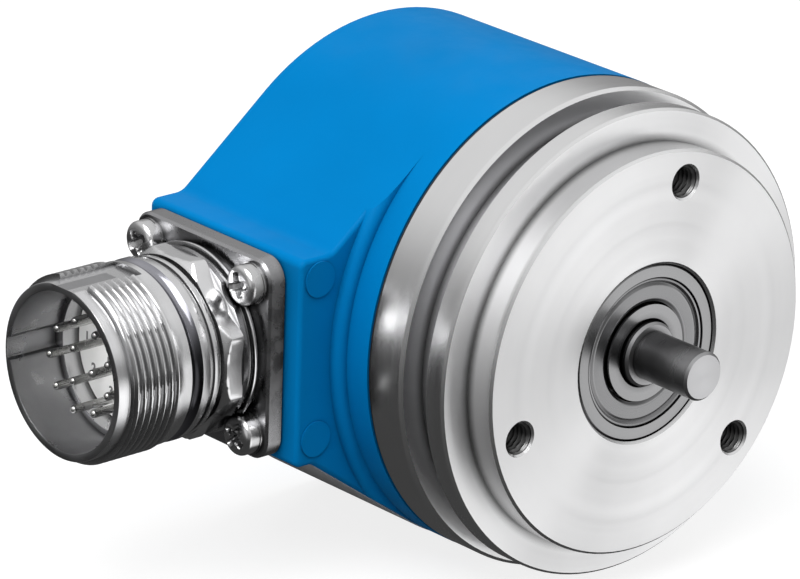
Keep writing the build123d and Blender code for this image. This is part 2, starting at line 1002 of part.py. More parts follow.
def connector_gasket():
    """Thin gasket under the flange plate."""
    outline = RectangleRounded(plate_side - 0.6, plate_side - 0.6, plate_corner_radius)
    outline -= Circle(stub_radius + pad_bore_clearance)
    for place in plate_screw_places():
        outline -= Pos(*place) * Circle(plate_screw_radius + plate_bore_clearance)
    return connector_slab(outline, 0, plate_gasket)


def connector_plate():
    """Square plate that clamps the receptacle to the pad."""
    outline = RectangleRounded(plate_side, plate_side, plate_corner_radius)
    outline -= Circle(stub_radius)
    for place in plate_screw_places():
        outline -= Pos(*place) * Circle(plate_screw_radius + plate_bore_clearance)
    plate = connector_slab(outline, plate_gasket, plate_front)
    front_face = plate.faces().sort_by(Axis.X)[0]
    return chamfer(front_face.outer_wire().edges(), edge_break)


def connector_shell():
    """Turned shell: stub, rings, octagon, seal groove, thread and mouth."""
    shell = connector_turned(
        (-stub_length, seat_radius),
        (-stub_length, stub_radius),
        (plate_front, stub_radius),
        (plate_front, hub_ring_radius),
        (rear_ring_start, hub_ring_radius),
        (rear_ring_start, rear_ring_radius),
        (rear_ring_end, rear_ring_radius),
        (rear_ring_end, rear_groove_radius),
        (round_collar_start, rear_groove_radius),
        (round_collar_start, round_collar_radius),
        (octagon_start, round_collar_radius),
        (octagon_start, waist_ring_radius),
        (middle_ring_start, waist_ring_radius),
        (middle_ring_start, octagon_bevel_radius),
        (middle_ring_end, octagon_bevel_radius),
        (middle_ring_end, neck_ring_radius),
        (front_ring_start, neck_ring_radius),
        (front_ring_start, collar_radius),
        (front_ring_end, collar_radius),
        (collar_end, collar_radius),
        (thread_start, collar_radius),
        (thread_start, thread_radius),
        (thread_end, thread_radius),
        (thread_end, mouth_radius),
        (shell_mouth, mouth_radius),
        (shell_mouth, bore_radius),
        (bore_floor, bore_radius),
        (bore_floor, seat_radius),
    )
    middle = -(pad_face + (front_ring_end + collar_end) / 2)
    half = (collar_end - front_ring_end) / 2
    hollow = [
        Polyline(
            (middle - half, connector_y + collar_radius),
            (middle - half, connector_y + collar_radius + half),
            (middle + half, connector_y + collar_radius + half),
            (middle + half, connector_y + collar_radius),
        ),
        ThreePointArc(
            (middle + half, connector_y + collar_radius),
            (middle, connector_y + collar_radius - land_hollow),
            (middle - half, connector_y + collar_radius),
        ),
    ]
    shell -= revolve(make_face(hollow), Axis((0, connector_y, 0), (1, 0, 0)))
    corner_turn = 180 / 8
    octagon = Rot(0, 0, corner_turn) * RegularPolygon(octagon_corner_radius, 8) - Circle(waist_ring_radius)
    wrench_ring = connector_slab(octagon, octagon_start, octagon_end)
    bevel = octagon_corner_radius - octagon_bevel_radius
    wrench_ring &= connector_turned(
        (octagon_start, 0),
        (octagon_start, octagon_corner_radius),
        (octagon_end - bevel, octagon_corner_radius),
        (octagon_end, octagon_bevel_radius),
        (octagon_end, 0),
    )
    shell += wrench_ring
    for place in plate_screw_places():
        scallop = Pos(*place) * Circle(washer_radius + plate_bore_clearance)
        shell -= connector_slab(scallop, plate_front, octagon_start)
    slot_depth = 2 * (thread_radius - code_slot_level)
    slot = Pos(code_slot_level + slot_depth / 2, 0) * Rectangle(slot_depth, code_slot_width)
    slot = Rot(0, 0, code_slot_angle) * slot
    shell -= connector_slab(slot, code_slot_end, shell_mouth)
    keyway = Pos(-keyway_circle, 0) * Circle(keyway_radius) & Circle(bore_radius + keyway_radius / 2)
    return shell - connector_slab(keyway, bore_floor, shell_mouth)


def pin_places():
    """Contact places seen from the mouth: nine on the outer circle and three inside."""
    for index in range(outer_pin_count):
        yield polar(outer_pin_circle, 180 + index * 360 / outer_pin_count)
    for index in range(inner_pin_count):
        yield polar(inner_pin_circle, index * 360 / inner_pin_count)


def contact_insert():
    """Moulded insert that holds the contacts."""
    insert = connector_turned(
        (-insert_rear, 0),
        (-insert_rear, insert_radius),
        (insert_front - insert_bevel, insert_radius),
        (insert_front, insert_radius - insert_bevel),
        (insert_front, 0),
    )
    for place in pin_places():
        hole = Pos(*place) * Circle(pin_radius)
        insert -= connector_slab(hole, -insert_rear, insert_front)
    return insert


def contact_pins():
    """Contacts with a rounded tip and a soldered tail."""
    outline = [
        Polyline(
            (pin_tip, 0),
            (-tail_length, 0),
            (-tail_length, tail_radius),
            (-insert_rear, tail_radius),
            (-insert_rear, pin_radius),
            (pin_tip - pin_radius, pin_radius),
        ),
        CenterArc((pin_tip - pin_radius, 0), pin_radius, 0, 90),
    ]
    pin = Plane.XY.location.inverse() * revolve(make_face(outline), Axis.X)
    pin = connector_plane(0) * (Rot(0, -90, 0) * pin)
    pins = []
    for y, z in pin_places():
        pins.append(Pos(0, -y, z) * pin)
    return group(pins)


def plate_washers():
    section = Circle(washer_radius) - Circle(plate_screw_radius + plate_bore_clearance)
    places = plate_screw_places()
    return group([connector_slab(Pos(*place) * section, plate_front, washer_front) for place in places])


def plate_screws():
    """Pan head screws with a cross recess."""
    screws = []
    for index, place in enumerate(plate_screw_places()):
        screw = connector_slab(Pos(*place) * Circle(plate_head_radius), washer_front, head_front)
        rim = screw.faces().sort_by(Axis.X)[0].edges()
        screw = fillet(rim, plate_head_crown)
        shank = Pos(*place) * Circle(plate_screw_radius)
        screw += connector_slab(shank, 1 - plate_screw_depth, washer_front)
        wing = Rectangle(2 * recess_reach, recess_width)
        cross = Pos(*place) * Rot(0, 0, 20 + 25 * index) * (wing + Rot(0, 0, 90) * wing)
        screws.append(screw - connector_slab(cross, head_front - recess_depth, head_front))
    return group(screws)


def flex_path():
    """Line of the flex circuit from the contacts to the header, in X and Y."""
    disc_x = -(pad_face - tail_length)
    return FilletPolyline(
        (disc_x + flex_thickness / 2, connector_y),
        (disc_x + flex_thickness / 2, connector_y - flex_disc_radius - 0.4),
        (-header_end() - flex_bend, header_middle()),
        (-header_end() + header_wall, header_middle()),
        radius=flex_bend * 0.8,
    )


def header_end():
    """Distance of the header's mouth from the shaft axis."""
    return board_radius - 0.2


def header_middle():
    return board_front - header_height / 2


def flex_circuit():
    """Flexible circuit: a stiff disc soldered to the contacts and a tail to the main board."""
    disc = Circle(flex_disc_radius)
    for place in pin_places():
        disc -= Pos(*place) * Circle(tail_radius + pin_clearance)
    front = -tail_length + flex_disc_thickness
    stiffener = connector_slab(disc, -tail_length, front)
    strip = extrude(trace(flex_path(), flex_thickness), amount=flex_width / 2, both=True)
    return stiffener + strip


def board_header():
    """Header for the flex circuit, on the front of the main board."""
    start = -header_end()
    outline = Pos(start + header_length / 2, 0) * Rectangle(header_length, header_width)
    block = slab(outline, board_front - header_height, board_front)
    mouth = Box(2 * header_wall, flex_thickness + 0.1, flex_width + 0.4)
    return block - Pos(start, header_middle(), 0) * mouth


nodes = {
    "flange": flange,
    "front_bearing_outer_ring": lambda: bearing_outer_ring(front_bearing_y),
    "front_bearing_inner_ring": lambda: bearing_inner_ring(front_bearing_y),
    "front_bearing_balls": lambda: bearing_balls(front_bearing_y),
    "front_bearing_cage": lambda: bearing_cage(front_bearing_y),
    "front_bearing_shields": lambda: bearing_shields(front_bearing_y),
    "rear_bearing_outer_ring": lambda: bearing_outer_ring(rear_bearing_y),
    "rear_bearing_inner_ring": lambda: bearing_inner_ring(rear_bearing_y),
    "rear_bearing_balls": lambda: bearing_balls(rear_bearing_y),
    "rear_bearing_cage": lambda: bearing_cage(rear_bearing_y),
    "rear_bearing_shields": lambda: bearing_shields(rear_bearing_y),
    "bearing_spacer": bearing_spacer,
    "preload_spring": preload_spring,
    "bore_retaining_ring": bore_retaining_ring,
    "shaft_retaining_ring": shaft_retaining_ring,
    "shaft": shaft,
    "disc_hub": disc_hub,
    "hub_set_screw": hub_set_screw,
    "code_disc": code_disc,
    "disc_clamp_ring": disc_clamp_ring,
    "lamp_block": lamp_block,
    "lamp": lamp,
    "collimator_lens": collimator_lens,
    "reticle": reticle,
    "photosensor": photosensor,
    "main_board": main_board,
    "main_board_chips": main_board_chips,
    "board_stands": board_stands,
    "gear_plate_spacers": gear_plate_spacers,
    "gear_plate": gear_plate,
    "counter_axles": counter_axles,
    "shaft_pinion": shaft_pinion,
    "counter_wheel_1": lambda: counter_wheel(0),
    "counter_wheel_2": lambda: counter_wheel(1),
    "counter_wheel_3": lambda: counter_wheel(2),
    "counter_magnet_1": lambda: counter_magnet(0),
    "counter_magnet_2": lambda: counter_magnet(1),
    "counter_magnet_3": lambda: counter_magnet(2),
    "sensor_board": sensor_board,
    "hall_sensors": hall_sensors,
    "sensor_board_stands": sensor_board_stands,
    "sensor_board_screws": sensor_board_screws,
    "board_link": board_link,
    "housing": housing,
    "housing_gasket": housing_gasket,
    "cover_screws": cover_screws,
    "type_label": type_label,
    "connector_gasket": connector_gasket,
    "connector_plate": connector_plate,
    "connector_shell": connector_shell,
    "contact_insert": contact_insert,
    "contact_pins": contact_pins,
    "plate_screws": plate_screws,
    "plate_washers": plate_washers,
    "flex_circuit": flex_circuit,
    "board_header": board_header,
}

for name, build in nodes.items():
    export_step(build(), f"parts/{name}.step")
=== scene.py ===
import json
from math import cos, pi, radians, sin, sqrt, tau

import bmesh
import bpy
from mathutils import Matrix, Vector


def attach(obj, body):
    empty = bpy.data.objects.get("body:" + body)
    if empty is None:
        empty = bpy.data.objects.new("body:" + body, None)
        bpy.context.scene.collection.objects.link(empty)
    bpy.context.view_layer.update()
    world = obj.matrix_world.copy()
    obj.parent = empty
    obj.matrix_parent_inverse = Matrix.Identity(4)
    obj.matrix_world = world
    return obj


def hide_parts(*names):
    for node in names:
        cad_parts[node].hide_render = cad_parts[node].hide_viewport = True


# Absolute rotary encoder with a servo flange and a radial receptacle, in metres.
# The shaft points to -Y, the receptacle to -X, and +Z is up.

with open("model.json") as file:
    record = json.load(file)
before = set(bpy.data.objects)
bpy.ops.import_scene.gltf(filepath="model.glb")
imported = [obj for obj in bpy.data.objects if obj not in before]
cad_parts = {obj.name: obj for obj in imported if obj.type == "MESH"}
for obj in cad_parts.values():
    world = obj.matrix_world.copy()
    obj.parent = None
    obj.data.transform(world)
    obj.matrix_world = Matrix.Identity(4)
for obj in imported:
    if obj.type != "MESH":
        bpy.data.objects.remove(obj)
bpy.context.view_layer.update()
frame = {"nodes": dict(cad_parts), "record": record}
nodes = frame["nodes"]
scene = bpy.context.scene
MM = 0.001

# Driving sizes, in millimetres; the slot's angles in radians, hole_turn and screw_turns in degrees
connector_y = 36.15
pad_face = 36.1
floor_z = -30.05
plate_front = 2.5
plate_screw_circle = 13.294
scallop_radius = 2.65
shell_rear = -1.6
shell_end = 23.3
seat_radius = 9.0
stub_radius = 10.2
mouth_radius = 10.7
rear_step = 3.3
rear_step_radius = 10.7
rear_ring_end = 3.75
rear_ring_radius = 11.6
neck_end = 4.4
neck_radius = 10.8
round_collar_radius = 11.3
octagon = (5.2, 7.8)
octagon_corner = 11.75
octagon_narrow = 11.10
octagon_wide = 10.58
octagon_bevel = 10.9
front_ring = (8.5, 9.2)
front_ring_radius = 10.9
front_neck_end = 10.0
front_neck_radius = 10.5
edge_round = 0.09
land = (11.1, 12.8)
land_hollow = 0.45
collar_radius = 11.1
thread_start = 14.9
thread_end = 21.6
thread_radius = 11.4
thread_pitch = 1.0
thread_depth = 0.5
thread_flank = 1.45
thread_flat = 0.22
thread_runout = 0.5
thread_shallowest = 0.4
slot_angle = radians(90.5)
slot_level = 10.45
slot_half_angle = 0.236
slot_wall = 0.0008
slot_end = 13.6
bore_radius = 9.7
bore_floor = 16.1
keyway_radius = 1.5
keyway_circle = 9.6
keyway_reach = 0.75
hole_circle = 21.0
hole_turn = 13.25
hole_bore = 1.99
hole_pitch = 0.7
hole_thread = (0.3, 7.6)
hole_thread_depth = 0.34
outer_pins = 5.6
outer_count = 9
inner_pins = 2.35
inner_count = 3
insert_face = 14.0
number_height = 1.6
number_shift = 1.4
number_lift = 0.25
number_raise = 0.04
number_swell = 0.05
groove = (6.8, 10.2)
groove_inside = 26.0
groove_outside = 26.8
shield_front = 0.65
shield_rear = 6.95
screw_offset = 9.4
head_radius = 2.45
head_crown = 0.8
head_top = 4.9
head_bottom = 2.9
head_rings = 22
head_columns = 72
screw_turns = (35, 70, 12, 55)
screw_radius = 1.25
screw_tail = -5.0
recess_reach = 1.65
recess_half = 0.44
recess_depth = 1.1
recess_slope = 0.14

camera_place = (-430.05, -433.67, 233.44)
camera_azimuth = -41.993
camera_elevation = 20.367
camera_roll = 2.009
camera_lens = 248.99

# Code tracks, in metres, and how many sectors they start ahead
track_start = 0.0125
track_end = 0.0181
tracks_per_metre = 1600.0
track_shift = 64.25

# Studio: strengths, and how mirror-like surfaces see the floor and the walls
world_light = 0.17
floor_half = 3000
floor_bounce = 0.25
floor_shade = 0.3
floor_glow = 0.82
mirror_base = 0.06
mirror_horizon = 0.30
mirror_overhead = 0.86
front_box = ((0.63, -0.70, -0.35), 14, 34, 0.97)
right_box = ((0.90, -0.35, -0.28), 12, 34, 1.4)
low_box = ((0.225, -0.865, -0.46), 12, 34, 1.4)
side_box = ((-0.95, -0.20, 0.25), 10, 30, 0.8)
middle_of_body = (0, 20, 0)
middle_of_plate = (-50, 36, 0)

# Colours, linear
paint_blue = (0.0, 0.225, 0.59)
paint_blue_deep = (0.0, 0.175, 0.46)
aluminium = (0.86, 0.86, 0.865)
groove_shade_grey = (0.36, 0.36, 0.37)
nickel = (0.76, 0.76, 0.77)
steel = (0.66, 0.66, 0.665)
spring_blue = (0.10, 0.10, 0.11)
black_rubber = (0.012, 0.012, 0.012)
insulator_grey = (0.86, 0.86, 0.85)
board_green = (0.01, 0.11, 0.045)


class Shader:
    """A material under construction: its nodes, its links and its main shader."""

    def __init__(self, name):
        self.material = bpy.data.materials.new(name)
        self.material.use_nodes = True
        self.tree = self.material.node_tree
        self.main = self.tree.nodes["Principled BSDF"]

    def node(self, kind, **settings):
        made = self.tree.nodes.new(kind)
        for key, value in settings.items():
            setattr(made, key, value)
        return made

    def link(self, source, target):
        self.tree.links.new(source, target)

    def set(self, **values):
        for key, value in values.items():
            socket = self.main.inputs[key.replace("_", " ")]
            socket.default_value = (*value, 1.0) if isinstance(value, tuple) else value

    def math(self, operation, first, second=0.0):
        made = self.node("ShaderNodeMath", operation=operation)
        for socket, value in zip(made.inputs, (first, second)):
            if isinstance(value, (int, float)):
                socket.default_value = value
            else:
                self.link(value, socket)
        return made.outputs[0]

    def place(self):
        return self.node("ShaderNodeTexCoord").outputs["Object"]

    def noise(self, scale, detail=3.0, vector=None):
        made = self.node("ShaderNodeTexNoise")
        made.inputs["Scale"].default_value = scale
        made.inputs["Detail"].default_value = detail
        self.link(vector or self.place(), made.inputs["Vector"])
        return made.outputs["Fac"]

    def spread(self, value, low, high, start=0.0, end=1.0):
        made = self.node("ShaderNodeMapRange")
        self.link(value, made.inputs["Value"])
        for key, number in (("From Min", start), ("From Max", end), ("To Min", low), ("To Max", high)):
            made.inputs[key].default_value = number
        return made.outputs["Result"]

    def blend(self, factor, first, second):
        made = self.node("ShaderNodeMix", data_type="RGBA")
        self.link(factor, made.inputs["Factor"])
        for socket, colour in zip(("A", "B"), (first, second)):
            target = [s for s in made.inputs if s.name == socket and s.type == "RGBA"][0]
            target.default_value = (*colour, 1.0)
        return [s for s in made.outputs if s.type == "RGBA"][0]

    def bump(self, height, distance, strength=1.0):
        made = self.node("ShaderNodeBump")
        made.inputs["Distance"].default_value = distance * MM
        made.inputs["Strength"].default_value = strength
        self.link(height, made.inputs["Height"])
        self.link(made.outputs["Normal"], self.main.inputs["Normal"])

    def facing(self, axis):
        """How far a surface faces one axis, either way."""
        split = self.node("ShaderNodeSeparateXYZ")
        self.link(self.node("ShaderNodeTexCoord").outputs["Normal"], split.inputs[0])
        return self.math("ABSOLUTE", split.outputs[axis])

    def paint_facing_shade(self, skin, axis, low, high, start, end):
        """Painted light and shade: base colour whose strength goes from low to high the more a surface
        faces an axis.
        """
        shade = self.node("ShaderNodeVectorMath", operation="SCALE")
        self.link(skin, shade.inputs[0])
        self.link(self.spread(self.facing(axis), low, high, start, end), shade.inputs["Scale"])
        self.link(shade.outputs[0], self.main.inputs["Base Color"])

    def paint_crevice_shade(self, reach, darkest=0.12, power=1.6):
        """Painted shade: darkens the base colour in narrow places, where little light gets in."""
        occlusion = self.node("ShaderNodeAmbientOcclusion", samples=6)
        occlusion.inputs["Distance"].default_value = reach * MM
        depth = self.math("POWER", occlusion.outputs["AO"], power)
        colour = self.main.inputs["Base Color"]
        multiply = self.node("ShaderNodeVectorMath", operation="SCALE")
        if colour.is_linked:
            self.link(colour.links[0].from_socket, multiply.inputs[0])
        else:
            multiply.inputs[0].default_value = tuple(colour.default_value)[:3]
        self.link(self.spread(depth, darkest, 1.0), multiply.inputs["Scale"])
        self.link(multiply.outputs[0], colour)

    def rings(self, axis):
        """Vector of (distance from an axis, distance along it), so that noise makes turning marks."""
        split = self.node("ShaderNodeSeparateXYZ")
        self.link(self.place(), split.inputs[0])
        across = [name for name in "XYZ" if name != axis]
        squares = [self.math("POWER", split.outputs[name], 2.0) for name in across]
        radius = self.math("SQRT", self.math("ADD", squares[0], squares[1]))
        joined = self.node("ShaderNodeCombineXYZ")
        self.link(radius, joined.inputs["X"])
        self.link(split.outputs[axis], joined.inputs["Y"])
        return joined.outputs[0]


def turned_metal(
    name, colour, roughness, depth=0.004, stretch=0.6, crevice_shade=1.2, faced=0.0, flank_shade=1.0, axis="Y"
):
    """Metal turned on a lathe: fine ring marks and highlights stretched across them, painted shade on its
    flanks and in crevices.
    """
    s = Shader(name)
    s.set(Base_Color=colour, Metallic=1.0, Roughness=roughness, Anisotropic=stretch)
    tangent = s.node("ShaderNodeTangent", direction_type="RADIAL", axis=axis)
    s.link(tangent.outputs[0], s.main.inputs["Tangent"])
    marks = s.rings(axis)
    fine = s.noise(3120, 2.0, marks)
    coarse = s.noise(540, 3.0, marks)
    cloud = s.noise(60, 4.0)
    facing = s.facing(axis)
    uneven = s.math("ADD", coarse, s.math("MULTIPLY", cloud, 0.3))
    rough = s.spread(uneven, roughness * 0.8, roughness * 1.25, 0.4, 0.9)
    s.link(s.math("ADD", rough, s.spread(facing, 0.0, faced, 0.8, 0.95)), s.main.inputs["Roughness"])
    s.bump(s.math("ADD", fine, s.math("MULTIPLY", coarse, 0.5)), depth)
    worn = tuple(c * 0.93 for c in colour)
    skin = s.blend(s.spread(cloud, 0.0, 1.0, 0.3, 0.7), colour, worn)
    # Painted shade: a darker base colour on flanks that turn away from the axis, and in crevices.
    s.paint_facing_shade(skin, axis, flank_shade, 1.0, 0.5, 0.9)
    s.paint_crevice_shade(crevice_shade)
    return s.material


def plated_metal(name, colour, roughness, depth=0.01, scale=180, crevice_shade=1.0, upper=1.0):
    """Plated or polished metal with a slightly uneven skin and dull patches, painted shade in crevices and,
    where asked, a painted highlight that makes it lighter on top.
    """
    s = Shader(name)
    s.set(Base_Color=colour, Metallic=1.0)
    cloud = s.noise(scale, 5.0)
    fine = s.noise(scale * 18, 2.0)
    s.link(s.spread(cloud, roughness * 0.7, roughness * 1.5, 0.35, 0.65), s.main.inputs["Roughness"])
    skin = s.blend(s.spread(cloud, 0.0, 1.0, 0.3, 0.7), colour, tuple(c * 0.85 for c in colour))
    # Painted light: faces turned upward get a base colour up to upper times brighter; painted shade in
    # crevices below.
    s.paint_facing_shade(skin, "Z", 1.0, upper, 0.2, 0.85)
    s.bump(s.math("ADD", cloud, s.math("MULTIPLY", fine, 0.3)), depth)
    s.paint_crevice_shade(crevice_shade)
    return s.material


def painted(name, colour, deep, roughness):
    """Satin powder coat over a casting: fine orange peel, slightly uneven gloss."""
    s = Shader(name)
    s.set(Specular_IOR_Level=0.03)
    peel = s.noise(1500, 3.0)
    cast = s.noise(220, 4.0)
    cloud = s.noise(45, 3.0)
    s.link(s.blend(s.spread(cloud, 0.0, 1.0, 0.2, 1.1), colour, deep), s.main.inputs["Base Color"])
    s.link(s.spread(cast, roughness - 0.06, roughness + 0.08, 0.3, 0.7), s.main.inputs["Roughness"])
    s.bump(s.math("ADD", peel, s.math("MULTIPLY", cast, 1.6)), 0.02, 0.6)
    # Painted shade in the housing's recesses.
    s.paint_crevice_shade(3.0, 0.35, 1.2)
    return s.material


def moulded(name, colour, roughness, scale=700, depth=0.008, contrast=0.85):
    """Moulded plastic, rubber or lacquer: fine mottling and a slightly rough skin."""
    s = Shader(name)
    cloud = s.noise(scale * 0.15, 4.0)
    fine = s.noise(scale, 3.0)
    dull = tuple(c * contrast for c in colour)
    s.link(s.blend(s.spread(cloud, 0.0, 1.0, 0.3, 0.7), colour, dull), s.main.inputs["Base Color"])
    rough = s.spread(fine, roughness * 0.85, min(1.0, roughness * 1.15), 0.3, 0.7)
    s.link(rough, s.main.inputs["Roughness"])
    s.bump(fine, depth)
    return s.material


def clear_glass(name, tint, roughness=0.02):
    s = Shader(name)
    s.set(Base_Color=tint, Transmission_Weight=1.0, IOR=1.5)
    s.link(s.spread(s.noise(300, 3.0), roughness, roughness * 3.0), s.main.inputs["Roughness"])
    return s.material


def coded_glass(name):
    """Code disc: chrome tracks on glass, as rings of sectors that double in number outwards."""
    s = Shader(name)
    s.set(Base_Color=(0.9, 0.95, 0.95), Roughness=0.05, IOR=1.5)
    split = s.node("ShaderNodeSeparateXYZ")
    s.link(s.place(), split.inputs[0])
    angle = s.math("DIVIDE", s.math("ARCTAN2", split.outputs["Z"], split.outputs["X"]), tau)
    squares = [s.math("POWER", split.outputs[name], 2.0) for name in "XZ"]
    radius = s.math("SQRT", s.math("ADD", *squares))
    ring = s.math("FLOOR", s.math("MULTIPLY", s.math("SUBTRACT", radius, track_start), tracks_per_metre))
    sectors = s.math("POWER", 2.0, s.math("ADD", ring, 2.0))
    phase = s.math("FRACT", s.math("ADD", s.math("MULTIPLY", angle, sectors), track_shift))
    track = s.math("GREATER_THAN", phase, 0.5)
    past_start = s.math("GREATER_THAN", radius, track_start)
    inside = s.math("MULTIPLY", past_start, s.math("LESS_THAN", radius, track_end))
    chrome = s.math("MULTIPLY", track, inside)
    s.link(chrome, s.main.inputs["Metallic"])
    s.link(s.math("SUBTRACT", 1.0, chrome), s.main.inputs["Transmission Weight"])
    return s.material


materials = {
    # Painted shade: slightly darker flanks on the machined aluminium.
    "machined_aluminium": turned_metal(
        "machined_aluminium", aluminium, 0.2, stretch=0.9, faced=0.22, flank_shade=0.9
    ),
    # Painted shade: the flange's groove gets a darker grey aluminium.
    "groove_shade_aluminium": turned_metal("groove_shade_aluminium", groove_shade_grey, 0.3, stretch=0.6),
    "blue_paint": painted("blue_paint", paint_blue, paint_blue_deep, 0.42),
    "nickel_plate": plated_metal("nickel_plate", nickel, 0.2),
    # Painted shade: dark nickel for the receptacle's land, with a painted highlight that makes it lighter
    # on top.
    "polished_land_shade_nickel": plated_metal("polished_land_shade_nickel", (0.05, 0.05, 0.055), 0.16, 0.004, upper=8.0),
    "shaded_nickel": plated_metal("shaded_nickel", (0.40, 0.40, 0.41), 0.3),
    "plate_nickel": plated_metal("plate_nickel", (0.36, 0.36, 0.37), 0.26, 0.012, 420),
    "stainless_steel": plated_metal("stainless_steel", steel, 0.2, 0.006, 260),
    # Painted shade: the shaft's sides get a much darker base colour.
    "ground_steel": turned_metal(
        "ground_steel", (0.56, 0.56, 0.57), 0.28, stretch=0.3, crevice_shade=2.5, faced=0.1, flank_shade=0.3
    ),
    # Painted shade: darker base colour and deep crevice shade inside the threaded holes.
    "threaded_hole": turned_metal("threaded_hole", (0.30, 0.30, 0.30), 0.3, stretch=0.0, crevice_shade=4.0),
    "bearing_steel": turned_metal(
        "bearing_steel", (0.37, 0.37, 0.375), 0.2, depth=0.002, stretch=0.4, crevice_shade=1.1
    ),
    "shield_steel": turned_metal(
        "shield_steel", (0.29, 0.29, 0.295), 0.26, depth=0.003, stretch=0.3, crevice_shade=1.1
    ),
    "spring_steel": plated_metal("spring_steel", spring_blue, 0.35, 0.006, 260),
    "cage_plastic": moulded("cage_plastic", (0.45, 0.40, 0.27), 0.5),
    "black_rubber": moulded("black_rubber", black_rubber, 0.6, 900, 0.012, 0.7),
    "glass": clear_glass("glass", (0.92, 0.96, 0.96)),
    "circuit_board": moulded("circuit_board", board_green, 0.35, 500, 0.006, 0.7),
    "chip_plastic": moulded("chip_plastic", (0.018, 0.018, 0.02), 0.55, 1200, 0.01, 0.75),
    "gear_plastic": moulded("gear_plastic", (0.66, 0.63, 0.52), 0.45, 600, 0.006, 0.93),
    "magnet": plated_metal("magnet", (0.35, 0.35, 0.36), 0.25, 0.005, 300),
    "insert_plastic": moulded("insert_plastic", insulator_grey, 0.5, 900, 0.006, 0.94),
    "number_ink": moulded("number_ink", (0.16, 0.16, 0.165), 0.5),
    "contact_metal": plated_metal("contact_metal", (0.52, 0.52, 0.51), 0.22, 0.004, 500),
    "label_foil": moulded("label_foil", (0.56, 0.56, 0.57), 0.45, 800, 0.004, 0.95),
    "flex_film": moulded("flex_film", (0.45, 0.17, 0.02), 0.35, 400, 0.004, 0.85),
    "lamp_lens": clear_glass("lamp_lens", (0.9, 0.75, 0.72), 0.08),
}
node_slots = {entry["node"]: entry["material_slot"] for entry in frame["record"]["subparts"]}


def add_object(name, data):
    """New object in the scene."""
    made = bpy.data.objects.new(name, data)
    scene.collection.objects.link(made)
    return made


def crease(obj, angle):
    """Keeps edges sharp where faces turn by more than an angle in degrees."""
    obj.modifiers.new("crease", "EDGE_SPLIT").split_angle = radians(angle)


def around(count):
    """Evenly spaced angles of one turn."""
    return [tau * k / count for k in range(count)]


for name, obj in nodes.items():
    obj.data.materials.clear()
    obj.data.materials.append(materials[node_slots[name]])
    obj.data.shade_smooth()
    weld = obj.modifiers.new("weld", "WELD")
    weld.merge_threshold = 0.002 * MM
    crease(obj, 28)
nodes["code_disc"].data.materials[0] = coded_glass("coded_glass")
nodes["shaft"].data.materials[0] = materials["ground_steel"]
nodes["connector_plate"].data.materials[0] = materials["plate_nickel"]
# Painted shade: faces in the flange's groove get the darker groove material.
nodes["flange"].data.materials.append(materials["groove_shade_aluminium"])
for face in nodes["flange"].data.polygons:
    middle = nodes["flange"].matrix_world @ face.center / MM
    reach = Vector((middle.x, middle.z)).length
    if groove[0] < middle.y < groove[1] and groove_inside < reach < groove_outside:
        face.material_index = 1


# Pieces finer than the frame's
def rounded(points, size):
    """Closed profile with three points at each corner in place of a sharp one."""
    result = []
    for index, (u, r, *tag) in enumerate(points):
        corner = Vector((u, r))
        before = Vector(points[index - 1][:2]) - corner
        after = Vector(points[(index + 1) % len(points)][:2]) - corner
        room = min(before.length, after.length)
        straight = room < 1e-6 or before.angle(after) > radians(165)
        if straight or room < 2.1 * size or "keep" in tag:
            result.append((u, r))
            continue
        first, last = before.normalized() * size, after.normalized() * size
        for point in (corner + first, corner + (first + last) * 0.29, corner + last):
            result.append((point.x, point.y))
    return result


def grid_mesh(name, rings, columns, place, closed=True):
    """Mesh of rings of points round an axis; place turns a reach, a radius and an angle into a point."""
    mesh = bmesh.new()
    rows = [[mesh.verts.new(place(u, r, angle)) for angle in columns] for u, r in rings]
    count = len(columns)
    last = len(rows) if closed else len(rows) - 1
    for row in range(last):
        lower, upper = rows[row], rows[(row + 1) % len(rows)]
        for column in range(count):
            after = (column + 1) % count
            mesh.faces.new((lower[column], lower[after], upper[after], upper[column]))
    data = bpy.data.meshes.new(name)
    mesh.to_mesh(data)
    mesh.free()
    data.shade_smooth()
    made = add_object(name, data)
    crease(made, 33)
    made.modifiers.new("flats", "WEIGHTED_NORMAL")
    return made


def thread_wave(turns):
    """Height of a rounded thread between 0 at the root and 1 at the crest."""
    phase = abs((turns % 1.0) * 2.0 - 1.0)
    return min(1.0, max(0.0, phase * thread_flank - thread_flat))


def thread_rings(start, end, radius, pitch, per_turn):
    """Close rings, each a reach and a radius, that give a thread's ridges their points."""
    steps = int((end - start) / pitch * per_turn)
    length = (end - start) / steps
    return [(start + length * k, radius) for k in range(steps + 1)]


def receptacle_point(u, r, angle):
    """Point of the receptacle from its reach, radius and angle seen from the mouth, in metres."""
    return Vector((-(pad_face + u), connector_y - r * cos(angle), r * sin(angle))) * MM


